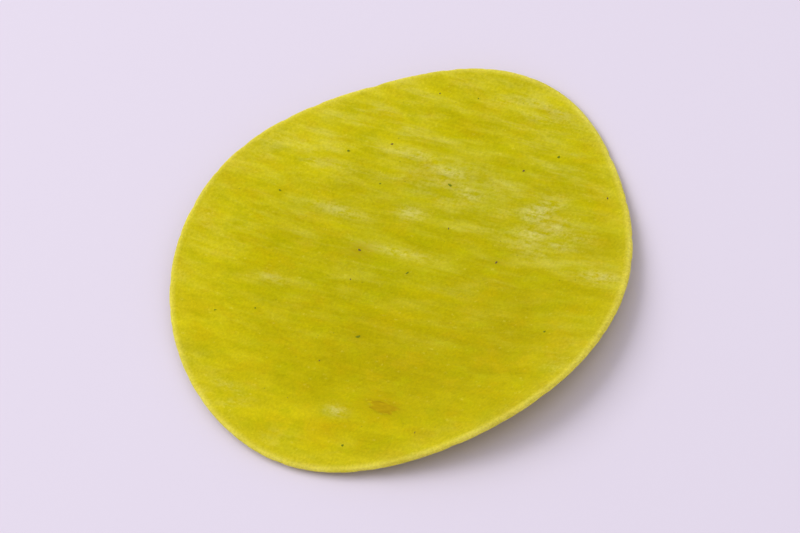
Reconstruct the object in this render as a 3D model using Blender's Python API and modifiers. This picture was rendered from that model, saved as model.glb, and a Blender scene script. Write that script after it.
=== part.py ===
"""A raw green chilli rice papadum: one thin round of pressed dough that curled a little as it dried.

Units are metres and +Z is up. The origin is at the bottom centre of the part's box, on the surface that
the papadum lies on. The round is turned from a half section, and formulas then give the turned shape its
uneven outline, its curl and its ruffled rim.
"""

import math

import bpy
import numpy as np

# Driving sizes of the round
MEAN_RADIUS = 0.025
THICKNESS = 0.00095
RIM_THICKNESS = 0.00065
RIM_TAPER_START = 0.72

# The outline's waves round the rim: number of waves, height as a share of the radius, direction of a crest
OUTLINE_WAVES = (
    (2, 0.027, math.radians(123)),
    (3, 0.017, math.radians(32)),
    (4, 0.023, math.radians(29)),
    (5, 0.004, math.radians(27)),
    (6, 0.004, math.radians(35)),
)

# The curl: the round bends up on both sides of a flat strip, which it rests on
CURL_DIRECTION = math.radians(-79)
FLAT_HALF_WIDTH = 0.0045
FRONT_CURL_RISE = 0.0026
BACK_CURL_RISE = 0.0017

# The ruffles: waves of the rim, above the curl, that fade out towards the middle
RUFFLE_START = 0.45
RUFFLES = (
    (3, 0.00045, math.radians(48)),
    (5, 0.00032, math.radians(-17)),
)

# How finely the shape is divided
TURN_STEPS = 84
MIDDLE_RINGS = 9
TAPER_RINGS = 5
EDGE_STEPS = 4

DOUGH_COLOUR = (0.50, 0.44, 0.02, 1.0)
DOUGH_ROUGHNESS = 0.5


def clear_scene():
    for old in list(bpy.data.objects):
        bpy.data.objects.remove(old, do_unlink=True)


def dough_material():
    material = bpy.data.materials.new("dried_dough")
    material.use_nodes = True
    shader = material.node_tree.nodes["Principled BSDF"]
    shader.inputs["Base Color"].default_value = DOUGH_COLOUR
    shader.inputs["Roughness"].default_value = DOUGH_ROUGHNESS
    shader.inputs["Metallic"].default_value = 0.0
    material.diffuse_color = DOUGH_COLOUR
    return material


def ease(share):
    """A smooth step from 0 to 1."""
    share = np.clip(share, 0.0, 1.0)
    return share * share * (3.0 - 2.0 * share)


def thickness_at(radius):
    """The round is even in the middle and thins towards its rim."""
    thinned = ease((radius / MEAN_RADIUS - RIM_TAPER_START) / (1.0 - RIM_TAPER_START))
    return THICKNESS - (THICKNESS - RIM_THICKNESS) * thinned


def half_section():
    """The turned section's points: out along the top, round the edge, and back along the underside."""
    edge_radius = RIM_THICKNESS / 2.0
    edge_centre = MEAN_RADIUS - edge_radius
    taper_start = MEAN_RADIUS * RIM_TAPER_START
    radii = np.concatenate(
        [
            np.linspace(0.0, taper_start, MIDDLE_RINGS),
            np.linspace(taper_start, edge_centre, TAPER_RINGS + 1)[1:],
        ]
    )
    top = [(radius, thickness_at(radius)) for radius in radii]
    turns = np.linspace(90.0, -90.0, EDGE_STEPS + 1)[1:-1]
    edge = [
        (
            edge_centre + edge_radius * math.cos(math.radians(turn)),
            edge_radius + edge_radius * math.sin(math.radians(turn)),
        )
        for turn in turns
    ]
    underside = [(radius, 0.0) for radius in reversed(radii)]
    return top + edge + underside


def turned_round(collection):
    """The even round, turned about Z from the half section, as an applied mesh."""
    points = half_section()
    profile = bpy.data.meshes.new("half_section")
    edges = [(i, i + 1) for i in range(len(points) - 1)]
    profile.from_pydata([(x, 0.0, z) for x, z in points], edges, [])
    blank = bpy.data.objects.new("turned_blank", profile)
    collection.objects.link(blank)
    screw = blank.modifiers.new("turn", "SCREW")
    screw.axis = "Z"
    screw.steps = TURN_STEPS
    screw.render_steps = TURN_STEPS
    screw.use_merge_vertices = True
    screw.merge_threshold = 0.00001
    bpy.context.view_layer.update()
    graph = bpy.context.evaluated_depsgraph_get()
    mesh = bpy.data.meshes.new_from_object(blank.evaluated_get(graph))
    bpy.data.objects.remove(blank, do_unlink=True)
    bpy.data.meshes.remove(profile)
    return mesh


def waves(angle, terms):
    """The sum of each term's cosine wave round the rim."""
    return sum(height * np.cos(count * (angle - crest)) for count, height, crest in terms)


def lift(x, y, share, angle):
    """Height of the underside above the surface it lies on: a two-sided curl, and ruffles near the rim."""
    across = x * math.cos(CURL_DIRECTION) + y * math.sin(CURL_DIRECTION)
    past_flat = np.maximum(np.abs(across) - FLAT_HALF_WIDTH, 0.0) / (MEAN_RADIUS - FLAT_HALF_WIDTH)
    curl = np.where(across > 0.0, FRONT_CURL_RISE, BACK_CURL_RISE) * past_flat**2
    highest_dip = sum(height for _, height, _ in RUFFLES)
    near_rim = np.clip((share - RUFFLE_START) / (1.0 - RUFFLE_START), 0.0, 1.0)
    ruffle = near_rim**2 * (highest_dip + waves(angle, RUFFLES)) / 2.0
    return curl + ruffle


def shaped_points(points):
    """The even round's points, moved to the uneven outline and lifted by the curl and the ruffles."""
    radius = np.hypot(points[:, 0], points[:, 1])
    angle = np.arctan2(points[:, 1], points[:, 0])
    reach = radius * (1.0 + waves(angle, OUTLINE_WAVES))
    x = reach * np.cos(angle)
    y = reach * np.sin(angle)
    z = points[:, 2] + lift(x, y, radius / MEAN_RADIUS, angle)
    shaped = np.stack([x, y, z], axis=1)
    middle = (shaped.min(axis=0) + shaped.max(axis=0)) / 2.0
    shaped[:, :2] -= middle[:2]
    return shaped


def build_papadum(collection):
    mesh = turned_round(collection)
    mesh.name = "papadum"
    points = np.empty(len(mesh.vertices) * 3)
    mesh.vertices.foreach_get("co", points)
    mesh.vertices.foreach_set("co", shaped_points(points.reshape(-1, 3)).ravel())
    mesh.update()
    mesh.shade_smooth()
    mesh.materials.clear()
    mesh.materials.append(dough_material())
    papadum = bpy.data.objects.new("papadum", mesh)
    collection.objects.link(papadum)
    return papadum


def main():
    clear_scene()
    collection = bpy.data.collections.new("green_chilli_rice_papadum")
    bpy.context.scene.collection.children.link(collection)
    build_papadum(collection)


main()
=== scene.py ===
"""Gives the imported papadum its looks: the dried dough's surface and colours, its flecks, and the stage.

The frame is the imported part. The papadum is laid over it by the same formulas as the solid, with fine
relief added. Everything is in metres, with +Z up. The file is laid out as an add-on and run as a script.
"""

import math

import bpy
import numpy as np
from bpy.props import FloatProperty, FloatVectorProperty, IntProperty, PointerProperty
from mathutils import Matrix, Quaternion, Vector


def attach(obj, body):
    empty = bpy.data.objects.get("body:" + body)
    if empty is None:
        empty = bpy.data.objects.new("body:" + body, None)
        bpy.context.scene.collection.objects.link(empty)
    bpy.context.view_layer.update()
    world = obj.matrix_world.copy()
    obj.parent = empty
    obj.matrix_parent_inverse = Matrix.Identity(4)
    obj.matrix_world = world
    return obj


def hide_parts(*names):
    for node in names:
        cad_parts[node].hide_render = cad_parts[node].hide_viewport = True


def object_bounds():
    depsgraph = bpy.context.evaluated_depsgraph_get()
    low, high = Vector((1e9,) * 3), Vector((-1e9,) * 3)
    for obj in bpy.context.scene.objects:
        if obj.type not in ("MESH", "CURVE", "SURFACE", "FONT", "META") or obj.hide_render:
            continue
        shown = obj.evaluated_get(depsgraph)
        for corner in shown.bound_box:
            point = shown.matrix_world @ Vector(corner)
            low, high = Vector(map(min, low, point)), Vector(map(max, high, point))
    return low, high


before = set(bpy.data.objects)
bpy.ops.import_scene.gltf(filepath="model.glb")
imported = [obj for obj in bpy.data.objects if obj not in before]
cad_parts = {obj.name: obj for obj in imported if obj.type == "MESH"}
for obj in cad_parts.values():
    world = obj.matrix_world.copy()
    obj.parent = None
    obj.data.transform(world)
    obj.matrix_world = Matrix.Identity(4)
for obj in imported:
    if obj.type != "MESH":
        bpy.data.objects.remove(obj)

bl_info = {
    "name": "Rice Papadum",
    "version": (1, 0, 0),
    "blender": (4, 5, 0),
    "location": "View3D > Sidebar > Papadum",
    "description": "Builds a raw green chilli rice papadum on its packed frame, with its stage",
    "category": "Add Mesh",
}

NODE = "papadum"
BODY = "root"
CAD_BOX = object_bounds()
MM = 0.001

# The outline's waves round the rim: number of waves, height as a share of the radius, a crest's direction
OUTLINE_WAVES = (
    (2, 0.027, math.radians(123)),
    (3, 0.017, math.radians(32)),
    (4, 0.023, math.radians(29)),
    (5, 0.004, math.radians(27)),
    (6, 0.004, math.radians(35)),
)

# The curl bends up on both sides of a flat strip, and the ruffles ride on it: waves, height, crest.
# They start at a share of the way out, as the thinning towards the rim does
CURL_DIRECTION = math.radians(-79)
RUFFLE_START = 0.45
RUFFLES = (
    (3, 0.45 * MM, math.radians(48)),
    (5, 0.32 * MM, math.radians(-17)),
)
RIM_TAPER_START = 0.72

# Where the nicks of the edge begin, as a share of the way out
NICK_START = 0.93

# Blisters and pits of the top, and dents of the underside: seed, smallest and largest radius.
# They lie within a share of the mean radius
BLISTERS = (41, 0.45 * MM, 1.10 * MM)
PITS = (42, 0.30 * MM, 0.60 * MM)
DENTS = (43, 0.50 * MM, 1.10 * MM)
DRIED_MARKS_REACH = 0.92

# The streaks run one way across the round and wander a little from side to side
STREAK_DIRECTION = math.radians(-52)
STREAK_WANDER = 0.9 * MM
STREAK_WANDER_CELL = 13.0 * MM

# One side of the round is streakier, where the streaks also paint a sheen; one is paler, which is painted
# light on the side towards the light; and one is warmer. Each fades out over a span
STREAKY_DIRECTION = math.radians(42)
PAINTED_LIGHT_DIRECTION = math.radians(115)
WARM_DIRECTION = math.radians(-115)
SIDE_SPAN = 36.0 * MM

# How strongly streaks, stains and whitish patches show on the underside, as a share of the top's
UNDERSIDE_STRENGTH = 0.45

# The floor lies just under the strip that rests on it, so that the two don't share a plane
FLOOR_GAP = 0.01 * MM

# How finely the outline is measured, and the surface divided
OUTLINE_STEPS = 720
RINGS = 105
EDGE_ROWS = 8
FLECK_ROWS = 6
FLECK_COLUMNS = 16
FLAKE_ROWS = 16
FLAKE_COLUMNS = 64

# Soft marks: x, y, reach along the streaks and across them, all in mm, and strength.
# All of them give colour, and the dashes are also raised a little
PALE_DASHES = (
    (0.5, 2.8, 4.2, 0.55, 0.36),
    (3.8, 6.3, 1.5, 0.80, 0.52),
    (9.4, 8.4, 2.6, 0.60, 0.60),
    (10.0, 4.2, 1.5, 0.65, 0.50),
    (7.2, 12.8, 2.6, 0.55, 0.45),
    (-2.5, 11.6, 3.0, 0.60, 0.45),
    (16.9, -14.8, 2.4, 0.60, 0.60),
    (-12.0, 8.4, 1.6, 0.50, 0.35),
    (-13.0, -11.2, 1.2, 0.55, 0.55),
    (14.9, -2.4, 1.6, 0.80, 0.85),
    (13.2, -4.4, 1.8, 0.70, 0.60),
    (15.6, -5.4, 1.5, 0.65, 0.60),
)
# The whitish patches are painted sheen, not the dough's own colour
PAINTED_SHEEN_PATCHES = (
    (14.9, -2.8, 3.4, 1.9, 0.90),
    (13.8, -6.0, 4.2, 1.8, 0.6),
    (16.2, -7.4, 2.6, 1.3, 0.35),
    (9.0, 7.0, 6.0, 2.4, 0.40),
    (-2.0, 19.5, 5.0, 2.5, 0.25),
    (21.6, 8.6, 5.5, 1.8, 0.45),
    (-4.0, 22.8, 2.5, 2.5, 0.25),
    (-22.4, -1.2, 3.5, 2.0, 0.25),
)
WARM_PATCHES = (
    (-15.5, -12.0, 3.4, 2.2, 0.75),
    (-19.0, -8.4, 2.6, 1.8, 0.6),
    (-20.6, 10.5, 3.2, 1.6, 0.5),
    (-9.0, -13.4, 3.0, 1.3, 0.6),
)
STAINS = (
    (-8.7, -13.9, 2.6, 1.10, 0.9),
    (-2.6, 5.5, 1.50, 0.90, 0.8),
    (8.6, -5.2, 1.10, 0.60, 0.7),
    (-7.3, -4.2, 1.00, 0.60, 0.4),
    (8.7, 6.9, 0.60, 0.40, 0.4),
    (0.3, -0.3, 0.60, 0.35, 0.3),
)
DEEP_PATCHES = (
    (-1.0, -9.5, 16.0, 9.0, 1.0),
    (-6.0, 2.0, 10.0, 6.0, 0.4),
    (19.5, -12.0, 7.0, 4.0, 0.4),
)
BRIGHT_PATCHES = (
    (-17.5, -9.5, 9.0, 4.5, 0.95),
    (-20.0, -1.5, 5.0, 2.5, 0.9),
    (-3.0, 18.5, 6.0, 4.0, 0.5),
    (6.0, 15.0, 5.0, 4.0, 0.35),
    (17.5, 6.5, 8.0, 5.0, 0.45),
    (-8.0, -19.0, 5.0, 2.5, 0.6),
)
FRESH_PATCHES = (
    (0.5, 0.0, 9.0, 5.0, 1.0),
    (9.0, 2.0, 9.0, 7.0, 0.7),
)

# Flecks that lie in the top: x, y, length, width, all in mm, and direction in degrees
GREEN_FLECKS = (
    (-7.3, -4.2, 0.60, 0.35, -40),
    (8.7, 6.9, 0.65, 0.30, -70),
    (0.3, -0.3, 0.45, 0.25, 10),
)
DARK_FLECKS = (
    (-2.7, 5.6, 0.45, 0.28, -60),
    (8.6, -5.2, 0.40, 0.25, 20),
    (5.8, 15.4, 0.38, 0.22, -30),
)
RED_FLAKES = ((-8.7, -14.1, 5.0, 1.45, -57),)

# More small flecks are scattered over the top: how many, seed, shortest and longest in mm.
# They lie within a distance from the middle, also in mm
SCATTERED_GREEN_FLECKS = (9, 61, 0.20, 0.45)
SCATTERED_DARK_FLECKS = (8, 63, 0.15, 0.35)
SCATTERED_REACH = 22.5

# How high a fleck stands, and the waves of its outline: number of waves, height as a share of its radius
FLECK_HEIGHT = 0.03 * MM
FLECK_WAVES = ((2, 0.10), (3, 0.12), (5, 0.09), (8, 0.05), (13, 0.03))
FLECK_OUTLINE_SEED = 71


class PapadumShape(bpy.types.PropertyGroup):
    """The round's own sizes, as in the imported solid."""

    mean_radius: FloatProperty(
        name="Mean radius",
        description="Mean radius of the round",
        default=25.0 * MM,
        unit="LENGTH",
    )
    thickness: FloatProperty(
        name="Thickness",
        description="Thickness in the middle",
        default=0.95 * MM,
        unit="LENGTH",
    )
    rim_thickness: FloatProperty(
        name="Rim thickness",
        description="Thickness at the rim",
        default=0.65 * MM,
        unit="LENGTH",
    )
    flat_half_width: FloatProperty(
        name="Flat half width",
        description="Half the width of the strip that lies flat",
        default=4.5 * MM,
        unit="LENGTH",
    )
    front_curl: FloatProperty(
        name="Front curl",
        description="How far the near side bends up",
        default=2.6 * MM,
        unit="LENGTH",
    )
    back_curl: FloatProperty(
        name="Back curl",
        description="How far the far side bends up",
        default=1.7 * MM,
        unit="LENGTH",
    )


class PapadumRelief(bpy.types.PropertyGroup):
    """Heights of the fine relief that the drying left."""

    swell: FloatProperty(
        name="Swell",
        description="Height of the slow unevenness",
        default=0.060 * MM,
        unit="LENGTH",
    )
    crease: FloatProperty(
        name="Crease",
        description="Height of the creases along the streaks",
        default=0.026 * MM,
        unit="LENGTH",
    )
    blister: FloatProperty(
        name="Blister",
        description="Height of the small blisters",
        default=0.045 * MM,
        unit="LENGTH",
    )
    pit: FloatProperty(
        name="Pit",
        description="Depth of the small pits",
        default=0.035 * MM,
        unit="LENGTH",
    )
    rim_tick: FloatProperty(
        name="Rim tick",
        description="Height of the fine ticks across the rim",
        default=0.020 * MM,
        unit="LENGTH",
    )
    rim_nick: FloatProperty(
        name="Rim nick",
        description="How far the edge's nicks go in",
        default=0.14 * MM,
        unit="LENGTH",
    )
    blister_count: IntProperty(
        name="Blisters",
        description="Number of small blisters",
        default=16,
        min=0,
    )
    pit_count: IntProperty(
        name="Pits",
        description="Number of small pits",
        default=26,
        min=0,
    )


def colour_property(name, description, default):
    """A colour that a user can change, in linear red, green and blue."""
    return FloatVectorProperty(
        name=name,
        description=description,
        default=default,
        subtype="COLOR",
        size=3,
        min=0.0,
        max=1.0,
    )


class PapadumColours(bpy.types.PropertyGroup):
    """Colours of the dough and of what is in it. Some also paint light: the pale colour on the lit side,
    the bloom's sheen, the streaks' sheen and the edge's highlight.
    """

    deep: colour_property("Deep", "Dough in the darker patches", (0.458, 0.402, 0.0003))
    dough: colour_property("Dough", "Dough over most of the round", (0.510, 0.456, 0.0010))
    # The pale colour also paints light: it makes the side towards the light lighter
    pale: colour_property("Pale", "Dough towards the far side and the rim", (0.608, 0.543, 0.004))
    fresh: colour_property("Fresh", "Greener mottles of the dough", (0.490, 0.465, 0.001))
    rim: colour_property("Rim", "The dough of the last millimetres", (0.670, 0.590, 0.025))
    # The line colour is partly a painted highlight along the rounded edge; in the grit it is the dough's
    # own
    line: colour_property("Line", "The thin line along the edge, and the grit", (0.800, 0.715, 0.125))
    # The streak colour is partly the dough's pale streaks and partly a painted sheen
    streak_and_sheen: colour_property("Streak", "The pale streaks", (0.655, 0.615, 0.120))
    # The bloom colour is whitish dust in the dashes and a painted sheen in the whitish patches
    dust_and_painted_sheen: colour_property("Bloom", "The whitish patches and dashes", (0.705, 0.668, 0.215))
    warm: colour_property("Warm", "The warm patches and mottles", (0.588, 0.428, 0.0015))
    stain: colour_property("Stain", "Dough that skins have coloured", (0.430, 0.310, 0.002))
    speck: colour_property("Speck", "The finest dark specks", (0.230, 0.210, 0.012))
    green_fleck: colour_property("Green fleck", "Bits of green chilli", (0.180, 0.220, 0.008))
    dark_fleck: colour_property("Dark fleck", "Bits of dark skin", (0.160, 0.100, 0.035))
    red_flake: colour_property("Red flake", "The bit of ripe skin", (0.455, 0.318, 0.001))


class PapadumStage(bpy.types.PropertyGroup):
    """The floor, the lights and the camera."""

    floor: colour_property("Floor", "Colour of the floor", (0.780, 0.715, 0.830))
    floor_size: FloatProperty(
        name="Floor size",
        description="Length of the floor's side",
        default=6.0,
        unit="LENGTH",
    )
    elevation: FloatProperty(
        name="Elevation",
        description="How far above the floor the camera looks from",
        default=math.radians(50.0),
        subtype="ANGLE",
    )
    roll: FloatProperty(
        name="Roll",
        description="How far the picture is turned",
        default=math.radians(30.8),
        subtype="ANGLE",
    )
    lens: FloatProperty(
        name="Lens",
        description="Focal length of the camera",
        default=250.0,
        unit="CAMERA",
    )
    share_of_frame: FloatProperty(
        name="Share of frame",
        description="Width of the round as a share of the picture's width",
        default=0.60,
        subtype="FACTOR",
        min=0.05,
        max=1.0,
    )
    key_power: FloatProperty(
        name="Key power",
        description="Power of the large soft light",
        default=4.7,
        unit="POWER",
    )
    fill_power: FloatProperty(
        name="Fill power",
        description="Power of the light from the other side",
        default=1.5,
        unit="POWER",
    )
    sky: FloatProperty(
        name="Sky",
        description="Strength of the even light from all round",
        default=0.57,
        min=0.0,
    )


def ease(share):
    """A smooth step: 0 below 0, 1 above 1, and level at both ends."""
    share = np.clip(share, 0.0, 1.0)
    return share * share * (3.0 - 2.0 * share)


def grown(value, start, end):
    """A smooth step that begins at the start and is whole at the end."""
    return ease((value - start) / (end - start))


def waves(angle, terms):
    """The sum of each term's cosine wave round the rim."""
    return sum(height * np.cos(count * (angle - crest)) for count, height, crest in terms)


def turned(x, y, direction):
    """The plane's coordinates along and across a direction."""
    along = x * math.cos(direction) + y * math.sin(direction)
    across = y * math.cos(direction) - x * math.sin(direction)
    return along, across


def noise(x, y, cell, seed):
    """Smooth noise, mostly between -1 and 1, with bumps about a cell across.

    Each corner of a square lattice has a slope in a random direction. A point takes the height of the
    four slopes round it, and eases from one to the next by where it lies in its square. That is divided
    by about the highest value that it comes to.
    """
    size = 128
    turns = np.random.default_rng(seed).uniform(0.0, 2.0 * math.pi, (size, size))
    column, row = x / cell, y / cell
    left, low = np.floor(column).astype(int), np.floor(row).astype(int)
    across, up = column - left, row - low

    def corner(i, j):
        turn = turns[(left + i) % size, (low + j) % size]
        return np.cos(turn) * (across - i) + np.sin(turn) * (up - j)

    lower = corner(0, 0) + (corner(1, 0) - corner(0, 0)) * ease(across)
    upper = corner(0, 1) + (corner(1, 1) - corner(0, 1)) * ease(across)
    highest = 0.7
    return (lower + (upper - lower) * ease(up)) / highest


def streak_noise(x, y, length, width, seed):
    """Noise drawn out along the streaks, which wander a little from side to side."""
    along, across = turned(x, y, STREAK_DIRECTION)
    wander = STREAK_WANDER * noise(x, y, STREAK_WANDER_CELL, seed + 1)
    return noise(along * width / length, across + wander, width, seed)


def soft_marks(x, y, marks):
    """The strongest of several soft ovals that lie along the streaks.

    An oval is e to minus the sum of two squares: the distance along it and across it, each over its reach.
    """
    strongest = np.zeros_like(x)
    for mark_x, mark_y, reach_along, reach_across, strength in marks:
        along, across = turned(x - mark_x * MM, y - mark_y * MM, STREAK_DIRECTION)
        oval = np.exp(-((along / (reach_along * MM)) ** 2) - (across / (reach_across * MM)) ** 2)
        strongest = np.maximum(strongest, strength * oval)
    return strongest


def scattered(count, seed, smallest, largest, reach):
    """Seeded random places on the round, each with a size: x, y, radius."""
    draw = np.random.default_rng(seed)
    distance = reach * np.sqrt(draw.uniform(0.0, 1.0, count))
    angle = draw.uniform(0.0, 2.0 * math.pi, count)
    radius = draw.uniform(smallest, largest, count)
    return np.stack([distance * np.cos(angle), distance * np.sin(angle), radius], axis=1)


def domes(x, y, places):
    """The sum of round domes one unit high.

    A dome is one minus the squared distance over the squared radius, and that squared.
    """
    height = np.zeros_like(x)
    for dome_x, dome_y, radius in places:
        squared = ((x - dome_x) ** 2 + (y - dome_y) ** 2) / radius**2
        height += np.clip(1.0 - squared, 0.0, 1.0) ** 2
    return height


class Round:
    """The papadum's shape: where a point of the even round comes to lie, and its two faces' heights."""

    def __init__(self, shape, relief):
        self.shape = shape
        self.relief = relief
        angle = np.linspace(0.0, 2.0 * math.pi, OUTLINE_STEPS, endpoint=False)
        reach = shape.mean_radius * (1.0 + waves(angle, OUTLINE_WAVES))
        x, y = reach * np.cos(angle), reach * np.sin(angle)
        self.middle_x = (x.min() + x.max()) / 2.0
        self.middle_y = (y.min() + y.max()) / 2.0
        reach_of_marks = shape.mean_radius * DRIED_MARKS_REACH
        self.blisters = scattered(relief.blister_count, *BLISTERS, reach_of_marks)
        self.pits = scattered(relief.pit_count, *PITS, reach_of_marks)
        self.dents = scattered(relief.pit_count, *DENTS, reach_of_marks)

    def spread(self, share, angle):
        """The plan: a share of the way to the rim, stretched by the outline's waves and centred."""
        reach = share * self.shape.mean_radius * (1.0 + waves(angle, OUTLINE_WAVES))
        return reach * np.cos(angle) - self.middle_x, reach * np.sin(angle) - self.middle_y

    def share_and_angle(self, x, y):
        """The plan read backwards: a place's share of the way to the rim, and its direction."""
        x, y = x + self.middle_x, y + self.middle_y
        angle = np.arctan2(y, x)
        reach = self.shape.mean_radius * (1.0 + waves(angle, OUTLINE_WAVES))
        return np.hypot(x, y) / reach, angle

    def thickness(self, share):
        """Even in the middle, and eased down to the rim's thickness."""
        thinned = grown(share, RIM_TAPER_START, 1.0)
        return self.shape.thickness - (self.shape.thickness - self.shape.rim_thickness) * thinned

    def lift(self, x, y):
        """The underside's height.

        The curl grows with the squared distance past the flat strip, and the ruffles grow to the rim.
        """
        share, angle = self.share_and_angle(x, y)
        across, _ = turned(x + self.middle_x, y + self.middle_y, CURL_DIRECTION)
        flat = self.shape.flat_half_width
        past_flat = np.maximum(np.abs(across) - flat, 0.0) / (self.shape.mean_radius - flat)
        rise = np.where(across > 0.0, self.shape.front_curl, self.shape.back_curl)
        near_rim = np.clip((share - RUFFLE_START) / (1.0 - RUFFLE_START), 0.0, 1.0)
        highest_dip = sum(height for _, height, _ in RUFFLES)
        return rise * past_flat**2 + near_rim**2 * (highest_dip + waves(angle, RUFFLES)) / 2.0

    def side(self, x, y, direction):
        """From 0 at one side of the round to 1 at the side that lies in the direction."""
        along, _ = turned(x, y, direction)
        return ease(0.5 + along / SIDE_SPAN)

    def rim_band(self, x, y, width):
        """From 1 at the rim down to 0 at a width inside it."""
        share, _ = self.share_and_angle(x, y)
        return ease(1.0 - (1.0 - share) * self.shape.mean_radius / width)

    def ticks(self, x, y):
        """Noise round the rim, drawn out from the middle outwards and broken up along the rim."""
        share, angle = self.share_and_angle(x, y)
        round_rim = angle * self.shape.mean_radius
        outwards = share * self.shape.mean_radius
        drawn_out = 5.0
        fine = noise(round_rim, outwards / drawn_out, cell=0.75 * MM, seed=31)
        patches = ease(0.5 + noise(round_rim, outwards, cell=7.0 * MM, seed=32))
        return fine * patches * self.rim_band(x, y, width=3.2 * MM)

    def top_relief(self, x, y):
        """The top's relief: swells, creases along the streaks, blisters, pits and ticks at the rim."""
        relief = self.relief
        swell = noise(x, y, cell=7.5 * MM, seed=11) + 0.45 * noise(x, y, cell=3.1 * MM, seed=12)
        wide_crease = streak_noise(x, y, length=11.0 * MM, width=1.5 * MM, seed=13)
        narrow_crease = streak_noise(x, y, length=6.0 * MM, width=0.8 * MM, seed=15)
        streaky_side = 0.6 + 0.5 * self.side(x, y, STREAKY_DIRECTION)
        creases = (wide_crease + 0.7 * narrow_crease) * streaky_side
        dashes = soft_marks(x, y, PALE_DASHES)
        height = relief.swell * swell + relief.crease * (creases + 0.8 * dashes)
        height += relief.blister * domes(x, y, self.blisters) - relief.pit * domes(x, y, self.pits)
        return height + relief.rim_tick * self.ticks(x, y)

    def underside_relief(self, x, y):
        """The underside's relief, which only goes up, so that the strip it rests on stays the lowest."""
        relief = self.relief
        swell = noise(x, y, cell=8.0 * MM, seed=21) + 0.4 * noise(x, y, cell=2.6 * MM, seed=22)
        creases = streak_noise(x, y, length=9.0 * MM, width=1.2 * MM, seed=23)
        height = 0.5 * relief.swell * swell + 0.6 * relief.crease * creases
        return np.maximum(height, 0.0) + 0.5 * relief.pit * domes(x, y, self.dents)

    def top(self, x, y):
        """Height of the top face."""
        share, _ = self.share_and_angle(x, y)
        return self.lift(x, y) + self.thickness(share) + self.top_relief(x, y)

    def underside(self, x, y):
        """Height of the underside."""
        return self.lift(x, y) + self.underside_relief(x, y)

    def nicks(self, angle):
        """How far the edge is set in at each direction: two added noises round the rim, where above 0."""
        round_rim = angle * self.shape.mean_radius
        rough = noise(round_rim, np.zeros_like(angle), cell=1.7 * MM, seed=33)
        fine = noise(round_rim, np.zeros_like(angle), cell=0.6 * MM, seed=34)
        return self.relief.rim_nick * np.clip(rough + 0.35 * fine, 0.0, 1.0)


def disc_grid(rings):
    """A square grid pressed into a disc: each square ring becomes a circle, its points evenly round it.

    Gives each grid point's share of the way out and its direction.
    """
    side = np.linspace(-1.0, 1.0, 2 * rings + 1)
    u, v = np.meshgrid(side, side, indexing="ij")
    wide = np.abs(u) > np.abs(v)
    longer = np.where(wide, u, v)
    safe = np.where(longer == 0.0, 1.0, longer)
    eighth = math.pi / 4.0
    turn = np.where(wide, eighth * v / safe, math.pi / 2.0 - eighth * u / safe)
    angle = turn + np.where(longer < 0.0, math.pi, 0.0)
    return np.abs(longer), angle


def border(rings):
    """The grid's border points in order round the rim, as rows of the flat list of grid points."""
    count = 2 * rings + 1
    index = np.arange(count * count).reshape(count, count)
    return np.concatenate([index[:-1, 0], index[-1, :-1], index[:0:-1, -1], index[0, :0:-1]])


def grid_faces(rings):
    """The grid's squares as faces that point up."""
    count = 2 * rings + 1
    index = np.arange(count * count).reshape(count, count)
    corners = [index[:-1, :-1], index[1:, :-1], index[1:, 1:], index[:-1, 1:]]
    return np.stack([corner.ravel() for corner in corners], axis=1)


def band_faces(rows):
    """Squares between neighbouring closed rows of points, each row as long as the next."""
    here, below = rows[:-1], rows[1:]
    beside, beside_below = np.roll(here, -1, axis=1), np.roll(below, -1, axis=1)
    corners = [here, below, beside_below, beside]
    return np.stack([corner.ravel() for corner in corners], axis=1)


def mesh_from_arrays(name, points, faces):
    """A mesh from an array of points and one of four-cornered faces, shaded smooth."""
    mesh = bpy.data.meshes.new(name)
    mesh.vertices.add(len(points))
    mesh.vertices.foreach_set("co", points.astype(np.float32).ravel())
    mesh.loops.add(faces.size)
    mesh.loops.foreach_set("vertex_index", faces.astype(np.int32).ravel())
    mesh.polygons.add(len(faces))
    mesh.polygons.foreach_set("loop_start", np.arange(0, faces.size, 4, dtype=np.int32))
    mesh.update(calc_edges=True)
    mesh.validate()
    mesh.shade_smooth()
    return mesh


def set_attribute(mesh, name, values):
    """One number for each point of the mesh, for its material to read."""
    attribute = mesh.attributes.new(name, "FLOAT", "POINT")
    attribute.data.foreach_set("value", values.astype(np.float32).ravel())


def new_piece(name, mesh, material):
    """An object at the origin that shows the mesh, rides with the part and takes the given material."""
    mesh.materials.append(material)
    piece = bpy.data.objects.new(name, mesh)
    bpy.context.scene.collection.objects.link(piece)
    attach(piece, BODY)
    return piece


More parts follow.
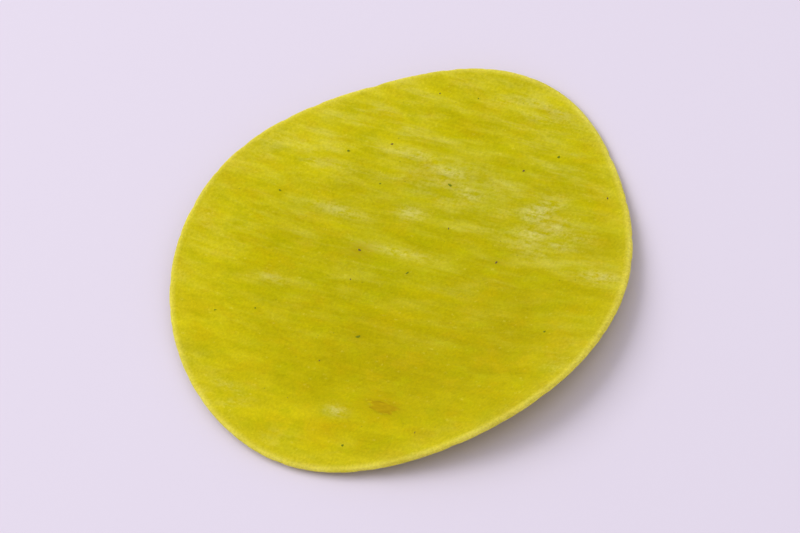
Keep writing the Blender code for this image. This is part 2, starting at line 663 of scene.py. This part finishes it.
def round_surface(shape_of_round):
    """The round's whole closed surface: its top grid, its underside grid and the rows round its edge.

    The edge is half a circle from the top's border to the underside's: out by the cosine of a turn from
    a quarter circle up to a quarter circle down, and up by its sine.
    """
    shape = shape_of_round.shape
    edge_radius = shape.rim_thickness / 2.0
    edge_centre = 1.0 - edge_radius / shape.mean_radius
    share, angle = disc_grid(RINGS)
    nick = shape_of_round.nicks(angle) / shape.mean_radius
    set_in = nick * grown(share, NICK_START, 1.0)
    x, y = shape_of_round.spread(share.ravel() * edge_centre - set_in.ravel(), angle.ravel())
    top = np.stack([x, y, shape_of_round.top(x, y)], axis=1)
    underside = np.stack([x, y, shape_of_round.underside(x, y)], axis=1)

    rim = border(RINGS)
    turn = np.linspace(math.pi / 2.0, -math.pi / 2.0, EDGE_ROWS + 1)[1:-1, None]
    rim_angle = angle.ravel()[rim][None, :]
    rim_nick = nick.ravel()[rim][None, :]
    edge_share = edge_centre - rim_nick + np.cos(turn) * edge_radius / shape.mean_radius
    edge_x, edge_y = shape_of_round.spread(edge_share, rim_angle + 0.0 * turn)
    upper, lower = top[rim, 2][None, :], underside[rim, 2][None, :]
    edge_z = (upper + lower) / 2.0 + (upper - lower) / 2.0 * np.sin(turn)
    edge = np.stack([edge_x.ravel(), edge_y.ravel(), edge_z.ravel()], axis=1)

    points = np.concatenate([top, underside, edge])
    first_edge = 2 * len(top)
    edge_rows = first_edge + np.arange(len(edge)).reshape(EDGE_ROWS - 1, len(rim))
    rows = np.concatenate([rim[None, :], edge_rows, rim[None, :] + len(top)])
    up = grid_faces(RINGS)
    down = up[:, ::-1] + len(top)
    return points, np.concatenate([up, down, band_faces(rows)])


class Graph:
    """A material's nodes, which all come from node() but for its own shader."""

    def __init__(self, name):
        self.material = bpy.data.materials.new(name)
        self.material.use_nodes = True
        self.tree = self.material.node_tree
        self.shader = self.tree.nodes["Principled BSDF"]

    def socket(self, sockets, name):
        """A socket by its number, or the one in use that has the name."""
        if isinstance(name, int):
            return sockets[name]
        return next(socket for socket in sockets if socket.enabled and socket.name == name)

    def fill(self, node, inputs):
        """Links or sets each named socket of a node."""
        for name, value in inputs.items():
            socket = self.socket(node.inputs, name)
            if isinstance(value, Number):
                self.tree.links.new(value.output, socket)
            else:
                socket.default_value = value

    def node(self, kind, settings, inputs, output=0):
        """A new node: its settings are set first, then its sockets. One of its outputs is given back."""
        node = self.tree.nodes.new(kind)
        for name, value in settings.items():
            setattr(node, name, value)
        self.fill(node, inputs)
        return Number(self, self.socket(node.outputs, output))

    def attribute(self, name):
        """A number that the mesh carries at each point."""
        return self.node("ShaderNodeAttribute", {"attribute_name": name}, {}, "Fac")

    def place(self):
        """The point's place in the part's own metres."""
        return self.node("ShaderNodeTexCoord", {}, {}, "Object")

    def along_streaks(self, place, stretch):
        """The place turned to the streaks, and squeezed along them to draw a pattern out."""
        turned_back = self.node(
            "ShaderNodeMapping",
            {"vector_type": "POINT"},
            {"Vector": place, "Rotation": (0.0, 0.0, -STREAK_DIRECTION)},
            "Vector",
        )
        return self.node(
            "ShaderNodeMapping",
            {"vector_type": "POINT"},
            {"Vector": turned_back, "Scale": (1.0 / stretch, 1.0, 1.0)},
            "Vector",
        )

    def noise(self, place, cell, detail=2.0, roughness=0.5):
        """Noise between 0 and 1, with bumps about a cell across."""
        inputs = {"Vector": place, "Scale": 1.0 / cell, "Detail": detail, "Roughness": roughness}
        return self.node("ShaderNodeTexNoise", {}, inputs, "Fac")

    def between(self, value, low, high):
        """A smooth step from 0 at the low value to 1 at the high one."""
        inputs = {"Value": value, "From Min": low, "From Max": high}
        return self.node("ShaderNodeMapRange", {"interpolation_type": "SMOOTHSTEP"}, inputs, "Result")

    def dots(self, place, cell, inner, outer):
        """Round dots, one to a cell: 1 inside the inner share of a cell, and 0 past the outer share."""
        inputs = {"Vector": place, "Scale": 1.0 / cell}
        distance = self.node("ShaderNodeTexVoronoi", {}, inputs, "Distance")
        return 1.0 - self.between(distance, inner, outer)

    def scaled(self, colour, factor):
        """A colour times a number."""
        inputs = {0: colour, "Scale": factor}
        return self.node("ShaderNodeVectorMath", {"operation": "SCALE"}, inputs, "Vector")

    def mix(self, factor, first, second):
        """The first colour where the factor is 0, and the second where it is 1."""
        inputs = {"Factor": factor, "A": opaque(first), "B": opaque(second)}
        return self.node("ShaderNodeMix", {"data_type": "RGBA"}, inputs, "Result")


class Number:
    """A socket's output. Arithmetic on it adds a Math node and gives that node's output."""

    def __init__(self, graph, output):
        self.graph = graph
        self.output = output

    def math(self, operation, first, second):
        """A new Math node's output."""
        settings = {"operation": operation}
        return self.graph.node("ShaderNodeMath", settings, {0: first, 1: second})

    def __add__(self, other):
        return self.math("ADD", self, other)

    def __radd__(self, other):
        return self.math("ADD", other, self)

    def __sub__(self, other):
        return self.math("SUBTRACT", self, other)

    def __rsub__(self, other):
        return self.math("SUBTRACT", other, self)

    def __mul__(self, other):
        return self.math("MULTIPLY", self, other)

    def __rmul__(self, other):
        return self.math("MULTIPLY", other, self)


def opaque(colour):
    """A colour of three numbers with full opacity added; a linked colour stays as it is."""
    return colour if isinstance(colour, Number) else (*colour, 1.0)


def dough_material(colours):
    """Dried rice dough: mottled yellow-green, brushed one way, dusty streaks, grit, specks, and painted
    light.

    The patterns come first. Each colour is then laid over the one before by an attribute or a pattern.
    """
    # Painted light in the colours: a lighter side towards the light, a sheen in the whitish patches and
    # partly in the streaks, and a highlight along the edge
    graph = Graph("dough_surface")
    place = graph.place()
    brushed = graph.along_streaks(place, stretch=3.6)
    brushed_a_little = graph.along_streaks(place, stretch=1.8)
    drawn_out = graph.along_streaks(place, stretch=9.0)
    mottle = graph.noise(place, cell=4.0 * MM, detail=3.0, roughness=0.6)
    tint = graph.noise(brushed_a_little, cell=1.8 * MM, detail=2.0, roughness=0.5)
    brush = graph.noise(brushed, cell=1.30 * MM, detail=4.0, roughness=0.60)
    long_streaks = graph.noise(drawn_out, cell=1.4 * MM, detail=2.0, roughness=0.5)
    hair = graph.noise(drawn_out, cell=0.30 * MM, detail=3.0, roughness=0.6)
    powder = graph.noise(brushed_a_little, cell=0.50 * MM, detail=3.0, roughness=0.6)
    grain = graph.noise(place, cell=0.28 * MM, detail=3.0, roughness=0.65)

    # The paleness holds painted light on the side towards the light, besides the paler dough of the outer
    # half
    pale = graph.attribute("pale") + (mottle - 0.5) * 0.7 + (brush - 0.5) * 0.5
    body = graph.mix(graph.between(pale, 0.0, 0.5), colours.deep, colours.dough)
    body = graph.mix(graph.between(pale, 0.5, 1.1), body, colours.pale)
    warm = graph.attribute("warm") * 0.8 + graph.between(tint, 0.52, 0.68) * 0.30
    body = graph.mix(warm, body, colours.warm)
    fresh = graph.attribute("fresh") * 0.6 + graph.between(1.0 - tint, 0.52, 0.68) * 0.5
    body = graph.mix(fresh, body, colours.fresh)
    brushed_streaks = brush * 0.7 + long_streaks * 0.3 + (hair - 0.5) * 0.4
    # Pale streaks, partly the dough's own and partly a painted sheen
    streaks = graph.attribute("streak_and_sheen") * graph.between(brushed_streaks, 0.36, 0.66)
    body = graph.mix(streaks, body, colours.streak_and_sheen)
    # Whitish dust in the dashes and a painted sheen in the whitish patches, broken up by a fine grain
    dust_and_sheen_grain = powder * 0.5 + hair * 0.3 + grain * 0.2
    dust_and_painted_sheen = graph.attribute("dust_and_painted_sheen") * graph.between(dust_and_sheen_grain, 0.38, 0.58)
    body = graph.mix(dust_and_painted_sheen, body, colours.dust_and_painted_sheen)
    body = graph.mix(graph.attribute("rim") * (0.10 + grain * 0.5), body, colours.rim)
    # The thin line along the edge: paler dough and a painted highlight of the rounded edge
    body = graph.mix(graph.attribute("line") * (0.50 + grain * 0.7), body, colours.line)
    stain = graph.attribute("stain") * graph.between(grain + hair, 0.75, 1.2)
    body = graph.mix(stain, body, colours.stain)
    speck = graph.dots(place, 1.3 * MM, 0.04, 0.09) * graph.between(mottle, 0.50, 0.60)
    body = graph.mix(speck * 0.5, body, colours.speck)
    grit = graph.dots(brushed_a_little, 0.80 * MM, 0.05, 0.26) * graph.between(grain, 0.45, 0.60)
    body = graph.mix(grit * 0.16, body, colours.line)
    streaky_shade = (brush - 0.5) * 0.26 + (long_streaks - 0.5) * 0.26
    grainy_shade = (grain - 0.5) * 0.50 + (hair - 0.5) * 0.14
    body = graph.scaled(body, 1.0 + streaky_shade + grainy_shade)

    height = brush * 0.6 + hair * 0.35 + grain * 0.35 + grit * 0.15
    bump = {"Strength": 0.9, "Distance": 0.08 * MM, "Height": height}
    graph.fill(
        graph.shader,
        {
            "Base Color": body,
            "Roughness": (grain - 0.5) * 0.25 + 0.42 + streaks * 0.16 + dust_and_painted_sheen * 0.22,
            "Normal": graph.node("ShaderNodeBump", {}, bump, "Normal"),
            "Subsurface Weight": 0.50,
            "Subsurface Radius": (1.0, 0.85, 0.12),
            "Subsurface Scale": 0.9 * MM,
            "Specular IOR Level": 0.05,
            "Specular Tint": (1.0, 0.92, 0.0, 1.0),
        },
    )
    return graph.material


def fleck_material(name, colour, dough):
    """Dried skin under a film of dough: its colour wanders, and fades to the dough's at its edge."""
    graph = Graph(name)
    place = graph.place()
    brushed = graph.along_streaks(place, stretch=3.0)
    wander = graph.noise(brushed, cell=0.30 * MM, detail=3.0, roughness=0.6)
    veil = graph.attribute("edge") + (wander - 0.5) * 1.2
    body = graph.mix(graph.between(veil, 0.60, 1.15), colour, dough)
    body = graph.scaled(body, 1.0 + (wander - 0.5) * 0.7)
    fine = graph.noise(place, cell=0.10 * MM, detail=2.0)
    bump = {"Strength": 0.5, "Distance": 0.02 * MM, "Height": fine + wander}
    graph.fill(
        graph.shader,
        {
            "Base Color": body,
            "Roughness": 0.35 + fine * 0.3,
            "Normal": graph.node("ShaderNodeBump", {}, bump, "Normal"),
            "Specular IOR Level": 0.1,
            "Specular Tint": (1.0, 0.92, 0.0, 1.0),
        },
    )
    return graph.material


def floor_material(colour):
    """A smooth pale board with a faint grain."""
    graph = Graph("floor_board")
    grain = graph.noise(graph.place(), cell=1.5 * MM, detail=3.0)
    graph.fill(
        graph.shader,
        {
            "Base Color": opaque(colour),
            "Roughness": 0.62 + grain * 0.12,
            "Specular IOR Level": 0.2,
        },
    )
    return graph.material


def fleck_surface(shape_of_round, flecks, seed, rows, columns):
    """Small flat bits that hug the top: each has a wavy outline, and is domed above and below it.

    A fleck's rows run from its top pole to its bottom pole: out by the sine of a half turn, and up by
    twice its cosine less one, so that its outline dips just under the dough. Gives the points, the faces
    and, for each point, how near it is to the outline.
    """
    draw = np.random.default_rng(seed)
    turn = np.linspace(0.0, math.pi, rows + 1)[:, None]
    angle = np.linspace(0.0, 2.0 * math.pi, columns, endpoint=False)[None, :]
    near_outline = np.sin(turn) + 0.0 * angle
    points, faces, edge = [], [], []
    per_fleck = 2 + (rows - 1) * columns
    for number, (middle_x, middle_y, length, width, degrees) in enumerate(flecks):
        crests = draw.uniform(0.0, 2.0 * math.pi, len(FLECK_WAVES))
        terms = zip(FLECK_WAVES, crests)
        outline = 1.0 + sum(share * np.cos(k * angle - crest) for (k, share), crest in terms)
        along = length * MM / 2.0 * np.sin(turn) * np.cos(angle) * outline
        across = width * MM / 2.0 * np.sin(turn) * np.sin(angle) * outline
        offset_x, offset_y = turned(along, across, -math.radians(degrees))
        x, y = middle_x * MM + offset_x, middle_y * MM + offset_y
        z = shape_of_round.top(x, y) + FLECK_HEIGHT * (2.0 * np.cos(turn) - 1.0)
        grid = np.stack([x, y, z, near_outline], axis=2)
        fleck = np.concatenate([grid[[0, -1], 0], grid[1:-1].reshape(-1, 4)])
        points.append(fleck[:, :3])
        edge.append(fleck[:, 3])
        top_pole = number * per_fleck
        bottom_pole = top_pole + 1
        ring = bottom_pole + 1 + np.arange((rows - 1) * columns).reshape(rows - 1, columns)
        top_fan = np.stack([ring[0], np.roll(ring[0], -1), np.full(columns, top_pole)], axis=1)
        bottom_fan = np.stack([np.roll(ring[-1], -1), ring[-1], np.full(columns, bottom_pole)], axis=1)
        faces += top_fan.tolist() + bottom_fan.tolist() + band_faces(ring).tolist()
    return np.concatenate(points), faces, np.concatenate(edge)


def small_flecks(count, seed, smallest, largest):
    """Seeded random flecks over the round: x, y, length, width in mm, and direction in degrees."""
    draw = np.random.default_rng(seed)
    places = scattered(count, seed + 1, smallest, largest, SCATTERED_REACH)
    slimmest, roundest = 0.45, 0.95
    slimness = draw.uniform(slimmest, roundest, count)
    degrees = draw.uniform(0.0, 180.0, count)
    return [
        (x, y, length, length * slim, degree)
        for (x, y, length), slim, degree in zip(places, slimness, degrees)
    ]


def paleness(shape_of_round, x, y, share):
    """Less in deep patches, more in bright ones and the outer half, and painted light on the lit side."""
    outer = grown(share, 0.45, 0.90)
    # Painted light: lighter towards the side that the light comes from
    painted_lit_side = shape_of_round.side(x, y, PAINTED_LIGHT_DIRECTION) - 0.5
    patches = 0.40 * soft_marks(x, y, BRIGHT_PATCHES) - 0.42 * soft_marks(x, y, DEEP_PATCHES)
    return 0.42 + 0.38 * outer + patches + 0.42 * painted_lit_side


def warmth(shape_of_round, x, y):
    """The warm patches, over a faint warmth that grows towards the warmer side."""
    warm_side = shape_of_round.side(x, y, WARM_DIRECTION)
    return np.maximum(soft_marks(x, y, WARM_PATCHES), 0.22 * warm_side)


def streakiness_and_sheen(shape_of_round, x, y):
    """Wide and fine streaks that come and go, and show most on the streaky side, where they also paint a
    sheen.
    """
    wide = ease(0.35 + streak_noise(x, y, length=9.0 * MM, width=1.5 * MM, seed=13))
    fine = ease(0.30 + streak_noise(x, y, length=4.5 * MM, width=0.8 * MM, seed=15))
    patches = ease(0.55 + noise(x, y, cell=6.0 * MM, seed=18))
    # Painted sheen: the streaks are strongest on the side where the sheen falls
    streaky_side = 0.05 + 0.95 * shape_of_round.side(x, y, STREAKY_DIRECTION)
    return (0.25 * wide + 0.35 * fine) * (0.4 + 0.6 * patches) * streaky_side


def dust_and_painted_sheen(x, y, share):
    """The whitish dust of the single dashes, the painted sheen of the whitish patches, and patchy
    whitening towards the rim.
    """
    broken = ease(0.55 + 1.4 * streak_noise(x, y, length=3.5 * MM, width=1.1 * MM, seed=16))
    near_rim = grown(share, 0.80, 0.98) * ease(0.3 + noise(x, y, cell=4.0 * MM, seed=19))
    patchy = np.maximum(0.8 * soft_marks(x, y, PAINTED_SHEEN_PATCHES), 0.16 * near_rim) * broken
    return np.maximum(soft_marks(x, y, PALE_DASHES), patchy)


def rim_paleness(shape_of_round, x, y):
    """A paleness that grows over the last millimetres, with fine ticks across it."""
    return shape_of_round.rim_band(x, y, width=3.0 * MM) * (1.0 + 0.8 * shape_of_round.ticks(x, y))


def rim_line_and_highlight(shape_of_round, x, y):
    """The thin pale line along the edge, stronger and weaker along the rim: thinner dough and a painted
    highlight.
    """
    share, angle = shape_of_round.share_and_angle(x, y)
    radius = shape_of_round.shape.mean_radius
    uneven = 0.75 + 0.35 * noise(angle * radius, share * radius, cell=4.0 * MM, seed=35)
    return shape_of_round.rim_band(x, y, width=0.85 * MM) * uneven


class PAPADUM_OT_round(bpy.types.Operator):
    """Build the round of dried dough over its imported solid"""

    bl_idname = "papadum.round"
    bl_label = "Build the round"

    def execute(self, context):
        scene = context.scene
        shape_of_round = Round(scene.papadum_shape, scene.papadum_relief)
        points, faces = round_surface(shape_of_round)
        mesh = mesh_from_arrays("dough_round", points, faces)
        x, y = points[:, 0], points[:, 1]
        share, _ = shape_of_round.share_and_angle(x, y)
        underside = points[:, 2] < shape_of_round.lift(x, y) + shape_of_round.thickness(share) / 2.0
        strength = np.where(underside, UNDERSIDE_STRENGTH, 1.0)
        set_attribute(mesh, "pale", paleness(shape_of_round, x, y, share))
        set_attribute(mesh, "warm", warmth(shape_of_round, x, y))
        set_attribute(mesh, "fresh", soft_marks(x, y, FRESH_PATCHES))
        set_attribute(mesh, "stain", soft_marks(x, y, STAINS) * strength)
        set_attribute(mesh, "streak_and_sheen", streakiness_and_sheen(shape_of_round, x, y) * strength)
        set_attribute(mesh, "dust_and_painted_sheen", dust_and_painted_sheen(x, y, share) * strength)
        set_attribute(mesh, "rim", rim_paleness(shape_of_round, x, y))
        set_attribute(mesh, "line", rim_line_and_highlight(shape_of_round, x, y))
        piece = new_piece("dough_round", mesh, dough_material(scene.papadum_colours))
        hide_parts(NODE)
        return {"FINISHED"}


class PAPADUM_OT_flecks(bpy.types.Operator):
    """Set the chilli flecks into the top of the round"""

    bl_idname = "papadum.flecks"
    bl_label = "Set the flecks"

    def execute(self, context):
        scene = context.scene
        colours = scene.papadum_colours
        shape_of_round = Round(scene.papadum_shape, scene.papadum_relief)
        small, large = (FLECK_ROWS, FLECK_COLUMNS), (FLAKE_ROWS, FLAKE_COLUMNS)
        green_flecks = [*GREEN_FLECKS, *small_flecks(*SCATTERED_GREEN_FLECKS)]
        dark_flecks = [*DARK_FLECKS, *small_flecks(*SCATTERED_DARK_FLECKS)]
        kinds = (
            ("green_flecks", green_flecks, colours.green_fleck, small),
            ("dark_flecks", dark_flecks, colours.dark_fleck, small),
            ("red_flakes", RED_FLAKES, colours.red_flake, large),
        )
        for number, (name, flecks, colour, fineness) in enumerate(kinds):
            seed = FLECK_OUTLINE_SEED + number
            points, faces, edge = fleck_surface(shape_of_round, flecks, seed, *fineness)
            mesh = bpy.data.meshes.new(name)
            mesh.from_pydata(points.tolist(), [], faces)
            mesh.shade_smooth()
            set_attribute(mesh, "edge", edge)
            new_piece(name, mesh, fleck_material(name, colour, colours.dough))
        return {"FINISHED"}


class PAPADUM_OT_stage(bpy.types.Operator):
    """Set the floor, the soft lights and the camera"""

    bl_idname = "papadum.stage"
    bl_label = "Set the stage"

    def execute(self, context):
        scene = context.scene
        stage = scene.papadum_stage
        add_floor(scene, stage)
        add_lights(scene, stage)
        add_camera(scene, stage)
        scene.view_settings.view_transform = "Standard"
        return {"FINISHED"}


def add_floor(scene, stage):
    """One large square, just under the strip that the round rests on."""
    half = stage.floor_size / 2.0
    level = -FLOOR_GAP
    corners = [(-half, -half, level), (half, -half, level), (half, half, level), (-half, half, level)]
    mesh = bpy.data.meshes.new("floor")
    mesh.from_pydata(corners, [], [(0, 1, 2, 3)])
    mesh.materials.append(floor_material(stage.floor))
    floor = bpy.data.objects.new("floor", mesh)
    scene.collection.objects.link(floor)


def add_soft_light(scene, name, azimuth, elevation, distance, size, power, colour):
    """A square soft light that faces the round from a direction, given in degrees."""
    data = bpy.data.lights.new(name, "AREA")
    data.shape = "SQUARE"
    data.size = size
    data.energy = power
    data.color = colour
    turn, height = math.radians(azimuth), math.radians(elevation)
    level = math.cos(height)
    towards = Vector((math.cos(turn) * level, math.sin(turn) * level, math.sin(height)))
    light = bpy.data.objects.new(name, data)
    light.location = towards * distance
    light.rotation_euler = towards.to_track_quat("Z", "Y").to_euler()
    scene.collection.objects.link(light)


def add_lights(scene, stage):
    """A large light from the far left, a weaker one from the near right, and an even sky."""
    add_soft_light(
        scene,
        "key",
        azimuth=125.0,
        elevation=52.0,
        distance=0.9,
        size=0.80,
        power=stage.key_power,
        colour=(1.0, 0.985, 0.97),
    )
    add_soft_light(
        scene,
        "fill",
        azimuth=-35.0,
        elevation=48.0,
        distance=1.0,
        size=0.70,
        power=stage.fill_power,
        colour=(0.97, 0.98, 1.0),
    )
    world = bpy.data.worlds.new("soft_sky")
    world.use_nodes = True
    sky = world.node_tree.nodes["Background"]
    sky.inputs["Color"].default_value = (0.95, 0.93, 1.0, 1.0)
    sky.inputs["Strength"].default_value = stage.sky
    scene.world = world


def add_camera(scene, stage):
    """A long lens on the near side that looks down at the round, its picture turned by the roll."""
    data = bpy.data.cameras.new("camera")
    data.lens = stage.lens
    low, high = CAD_BOX
    centre = (low + high) / 2.0
    width = high.x - low.x
    distance = width * stage.lens / (data.sensor_width * stage.share_of_frame)
    back = Vector((0.0, -math.cos(stage.elevation), math.sin(stage.elevation)))
    camera = bpy.data.objects.new("camera", data)
    camera.location = centre + back * distance
    camera.rotation_mode = "QUATERNION"
    level = back.to_track_quat("Z", "Y")
    camera.rotation_quaternion = level @ Quaternion((0.0, 0.0, 1.0), -stage.roll)
    data.clip_start = distance / 10.0
    data.clip_end = distance * 20.0
    scene.collection.objects.link(camera)
    scene.camera = camera


class PAPADUM_PT_sidebar(bpy.types.Panel):
    """The papadum's sizes, colours and steps"""

    bl_label = "Papadum"
    bl_idname = "PAPADUM_PT_sidebar"
    bl_space_type = "VIEW_3D"
    bl_region_type = "UI"
    bl_category = "Papadum"

    def draw(self, context):
        scene = context.scene
        for operator in OPERATORS:
            self.layout.operator(operator.bl_idname)
        for settings in (getattr(scene, name) for name in SETTINGS):
            box = self.layout.box()
            for name in settings.__annotations__:
                box.prop(settings, name)


SETTINGS = {
    "papadum_shape": PapadumShape,
    "papadum_relief": PapadumRelief,
    "papadum_colours": PapadumColours,
    "papadum_stage": PapadumStage,
}
OPERATORS = (PAPADUM_OT_round, PAPADUM_OT_flecks, PAPADUM_OT_stage)
CLASSES = (*SETTINGS.values(), *OPERATORS, PAPADUM_PT_sidebar)


def register():
    for each in CLASSES:
        bpy.utils.register_class(each)
    for name, group in SETTINGS.items():
        setattr(bpy.types.Scene, name, PointerProperty(type=group))


def unregister():
    for name in SETTINGS:
        delattr(bpy.types.Scene, name)
    for each in reversed(CLASSES):
        bpy.utils.unregister_class(each)


def main():
    register()
    bpy.ops.papadum.round()
    bpy.ops.papadum.flecks()
    bpy.ops.papadum.stage()


if __name__ == "__main__":
    main()
